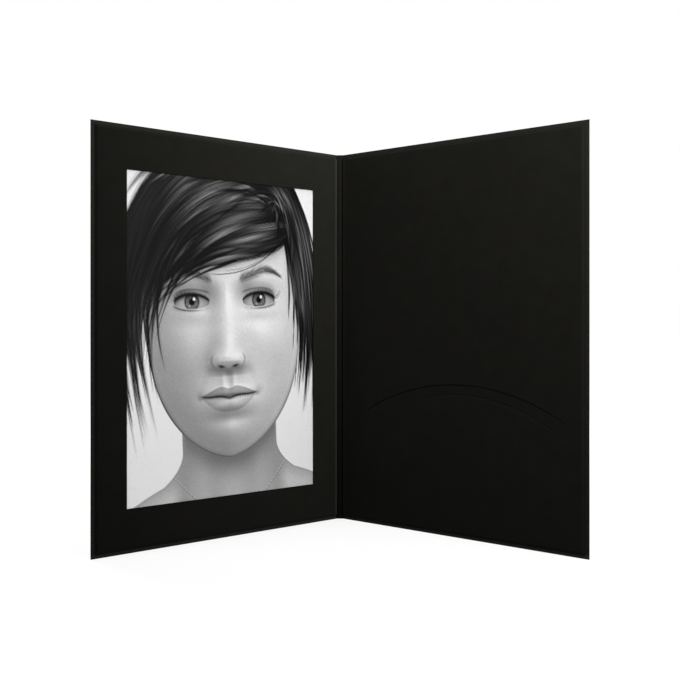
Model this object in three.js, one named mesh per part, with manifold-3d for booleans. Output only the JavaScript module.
// A card photo folder that stands open like a book. The left leaf holds a print behind a window mat.
// The right leaf holds a pocket panel with an arc slit for a disc. Millimetres, +Z up. The origin lies
// on the surface that the folder stands on, at the middle of its footprint, and it opens towards -Y.
import * as THREE from 'three';
import { mergeVertices } from 'three/addons/utils/BufferGeometryUtils.js';
import Module from 'manifold-3d';

const degree = Math.PI / 180;

// Print and window
const printWidth = 130;
const printHeight = 180;
const printThickness = 0.25;
const printLapSide = 3;
const printLapEnd = 4.7;
const windowCreaseMargin = 19.5;
const windowFreeMargin = 19.5;
const windowTopMargin = 22.7;
const windowBottomMargin = 22.7;

// Card and layers
const coverThickness = 0.6;
const innerThickness = 0.5;
const tapeThickness = 0.25;
const layerGap = 0.25;

// Cover border left bare round the inner sheets
const freeBorder = 2;
const endBorder = 2;
const creaseBorder = 1;

// Creases and stance
const closedRoom = 1.1;
const creaseClearance = 0.3;
const leafSwing = 42.5 * degree;
const beadSegments = 12;

// Tape between the cover and the inner sheets
const tapeWidth = 10;
const tapeInset = 1;

// Slit and score line of the pocket panel
const discDiameter = 120;
const discEase = 5;
const slitFreeMargin = 12.7;
const slitEndHeight = 66;
const slitRise = 16.7;
const slitWidth = 0.8;
const hookRadius = 2;
const hookTurn = 95 * degree;
const scoreDrop = 5.3;
const scoreEndInset = 4;
const scoreRise = 17.5;
const scoreWidth = 1;
const scoreDepth = 0.15;
const arcSegments = 48;
const hookSegments = 6;

// Sizes that follow from the ones above
const windowWidth = printWidth - 2 * printLapSide;
const windowHeight = printHeight - 2 * printLapEnd;
const leafWidth = windowCreaseMargin + windowWidth + windowFreeMargin;
const leafHeight = windowBottomMargin + windowHeight + windowTopMargin;
const layerDepth = coverThickness / 2 + layerGap;
const innerDepth = layerDepth + Math.max(printThickness, tapeThickness) + layerGap;
const leafDepth = innerDepth + innerThickness;
const spineWidth = 2 * leafDepth + closedRoom;
const beadRadius = coverThickness / 2;
const leafStart = beadRadius + creaseClearance;
const slitChord = discDiameter + 2 * discEase;
const slitMiddle = leafWidth - slitFreeMargin - slitChord / 2;
const slitApex = slitEndHeight + slitRise;
const scoreChord = slitChord - 2 * scoreEndInset;
const forwardReach = leafWidth * Math.sin(leafSwing) + beadRadius * Math.cos(leafSwing);
const creaseY = (forwardReach - beadRadius) / 2;

// Each leaf is drawn in its own frame: X runs across it from the crease line, Z is up and -Y is its
// inner side. The right leaf runs along +X and the left leaf along -X.
const RIGHT = 1;
const LEFT = -1;

// Colours and finishes
const coverCard = new THREE.MeshStandardMaterial({ color: 0x1c1b18, roughness: 0.82, metalness: 0 });
const innerCard = new THREE.MeshStandardMaterial({ color: 0x1a1a17, roughness: 0.85, metalness: 0 });
const printPaper = new THREE.MeshStandardMaterial({ color: 0xb9b9b7, roughness: 0.35, metalness: 0 });
const tapeFilm = new THREE.MeshStandardMaterial({ color: 0xd8d2c2, roughness: 0.5, metalness: 0 });

const wasm = await Module();
wasm.setup();

// A manifold solid from a closed geometry
function solidOf(geometry) {
  const bare = geometry.clone();
  bare.deleteAttribute('normal');
  bare.deleteAttribute('uv');
  const merged = mergeVertices(bare);
  return new wasm.Manifold(new wasm.Mesh({
    numProp: 3,
    vertProperties: new Float32Array(merged.attributes.position.array),
    triVerts: new Uint32Array(merged.index.array),
  }));
}

// A geometry from a manifold solid
function geometryOf(solid) {
  const mesh = solid.getMesh();
  const geometry = new THREE.BufferGeometry();
  geometry.setAttribute('position', new THREE.BufferAttribute(mesh.vertProperties, 3));
  geometry.setIndex(new THREE.BufferAttribute(mesh.triVerts, 1));
  geometry.computeVertexNormals();
  return geometry;
}

// The four corners of a rectangle on a leaf, given by its distances from the crease line and the base
function rectangle(side, near, far, low, high) {
  return [
    new THREE.Vector2(side * near, low),
    new THREE.Vector2(side * far, low),
    new THREE.Vector2(side * far, high),
    new THREE.Vector2(side * near, high),
  ];
}

// A flat sheet on a leaf: its outer face lies at the given depth inside the cover's middle plane
function sheet(outline, holes, depth, thickness) {
  const turned = THREE.ShapeUtils.isClockWise(outline) ? [...outline].reverse() : outline;
  const shape = new THREE.Shape(turned);
  for (const hole of holes) {
    shape.holes.push(new THREE.Path(hole));
  }
  const geometry = new THREE.ExtrudeGeometry(shape, { depth: thickness, bevelEnabled: false });
  geometry.rotateX(Math.PI / 2);
  geometry.translate(0, -depth, 0);
  return geometry;
}

// Points along an arc, each with the unit vector that points out from the arc's centre
function arcRun(centre, radius, from, to, segments) {
  const run = [];
  for (let i = 0; i <= segments; i += 1) {
    const angle = from + (to - from) * i / segments;
    const out = new THREE.Vector2(Math.cos(angle), Math.sin(angle));
    run.push({ point: out.clone().multiplyScalar(radius).add(centre), out });
  }
  return run;
}

// The middle line of a shallow arch on the right leaf, given by its chord, rise and highest point, with
// ends that hook down
function archLine(chord, rise, apex) {
  const radius = ((chord / 2) ** 2 + rise ** 2) / (2 * rise);
  const halfAngle = Math.asin(chord / 2 / radius);
  const centre = new THREE.Vector2(slitMiddle, apex - radius);
  const left = Math.PI / 2 + halfAngle;
  const right = Math.PI / 2 - halfAngle;
  const hookShift = radius - hookRadius;
  const leftHook = new THREE.Vector2(Math.cos(left), Math.sin(left)).multiplyScalar(hookShift).add(centre);
  const rightHook = new THREE.Vector2(Math.cos(right), Math.sin(right)).multiplyScalar(hookShift).add(centre);
  return [
    ...arcRun(leftHook, hookRadius, left + hookTurn, left, hookSegments),
    ...arcRun(centre, radius, left, right, arcSegments).slice(1, -1),
    ...arcRun(rightHook, hookRadius, right, right - hookTurn, hookSegments),
  ];
}

// The closed outline of a band of the given width along a line
function band(line, width) {
  const outer = line.map(({ point, out }) => point.clone().addScaledVector(out, width / 2));
  const inner = line.map(({ point, out }) => point.clone().addScaledVector(out, -width / 2));
  return [...outer, ...inner.reverse()];
}

// A U or a frame of tape under an inner sheet, open or closed along the crease
function tape(side, closedAtCrease) {
  const near = creaseBorder + tapeInset;
  const far = leafWidth - freeBorder - tapeInset;
  const low = endBorder + tapeInset;
  const high = leafHeight - endBorder - tapeInset;
  const ring = rectangle(side, near, far, low, high);
  const hole = rectangle(side, near + tapeWidth, far - tapeWidth, low + tapeWidth, high - tapeWidth);
  if (closedAtCrease) {
    return sheet(ring, [hole], layerDepth, tapeThickness);
  }
  const notch = [
    new THREE.Vector2(side * near, high - tapeWidth),
    new THREE.Vector2(side * (far - tapeWidth), high - tapeWidth),
    new THREE.Vector2(side * (far - tapeWidth), low + tapeWidth),
    new THREE.Vector2(side * near, low + tapeWidth),
  ];
  return sheet([...ring, ...notch], [], layerDepth, tapeThickness);
}

// One leaf of the cover sheet, from just past its crease to its free edge
function cover(side) {
  return sheet(rectangle(side, leafStart, leafWidth, 0, leafHeight), [], -coverThickness / 2, coverThickness);
}

// The outline of the card sheet that is taped inside a leaf
function innerOutline(side) {
  return rectangle(side, creaseBorder, leafWidth - freeBorder, endBorder, leafHeight - endBorder);
}

// The strip between the creases, with a round bead along each crease line
function spineStrip() {
  const shape = new THREE.Shape();
  shape.absarc(spineWidth / 2, 0, beadRadius, -Math.PI / 2, Math.PI / 2, false);
  shape.absarc(-spineWidth / 2, 0, beadRadius, Math.PI / 2, Math.PI * 3 / 2, false);
  return new THREE.ExtrudeGeometry(shape, { depth: leafHeight, bevelEnabled: false, curveSegments: beadSegments });
}

// The inner sheet of the left leaf, with its die-cut window
function windowMat() {
  const windowFar = windowCreaseMargin + windowWidth;
  const windowHigh = windowBottomMargin + windowHeight;
  const opening = rectangle(LEFT, windowCreaseMargin, windowFar, windowBottomMargin, windowHigh);
  return sheet(innerOutline(LEFT), [opening], innerDepth, innerThickness);
}

// The print, held behind the window and lapped by the mat on every side
function photoPrint() {
  const near = windowCreaseMargin - printLapSide;
  const low = windowBottomMargin - printLapEnd;
  const outline = rectangle(LEFT, near, near + printWidth, low, low + printHeight);
  return sheet(outline, [], layerDepth, printThickness);
}

// The inner sheet of the right leaf, slit along an arch and scored along a second one below it
function pocketPanel() {
  const slit = band(archLine(slitChord, slitRise, slitApex), slitWidth);
  const scoreBand = band(archLine(scoreChord, scoreRise, slitApex - scoreDrop), scoreWidth);
  const panel = sheet(innerOutline(RIGHT), [slit], innerDepth, innerThickness);
  const score = sheet(scoreBand, [], leafDepth - scoreDepth, 2 * scoreDepth);
  return geometryOf(solidOf(panel).subtract(solidOf(score)));
}

// One named mesh
function piece(name, geometry, material) {
  const mesh = new THREE.Mesh(geometry, material);
  mesh.name = name;
  return mesh;
}

const spine = new THREE.Group();
spine.add(piece('spine_strip', spineStrip(), coverCard));

const leftLeaf = new THREE.Group();
leftLeaf.position.x = -spineWidth / 2;
leftLeaf.rotation.z = leafSwing;
leftLeaf.add(piece('front_cover', cover(LEFT), coverCard));
leftLeaf.add(piece('window_mat', windowMat(), innerCard));
leftLeaf.add(piece('photo_print', photoPrint(), printPaper));
leftLeaf.add(piece('mat_tape', tape(LEFT, false), tapeFilm));

const rightLeaf = new THREE.Group();
rightLeaf.position.x = spineWidth / 2;
rightLeaf.rotation.z = -leafSwing;
rightLeaf.add(piece('back_cover', cover(RIGHT), coverCard));
rightLeaf.add(piece('pocket_panel', pocketPanel(), innerCard));
rightLeaf.add(piece('pocket_tape', tape(RIGHT, true), tapeFilm));

const folder = new THREE.Group();
folder.position.y = creaseY;
folder.add(spine);
folder.add(leftLeaf);
folder.add(rightLeaf);

export default folder;
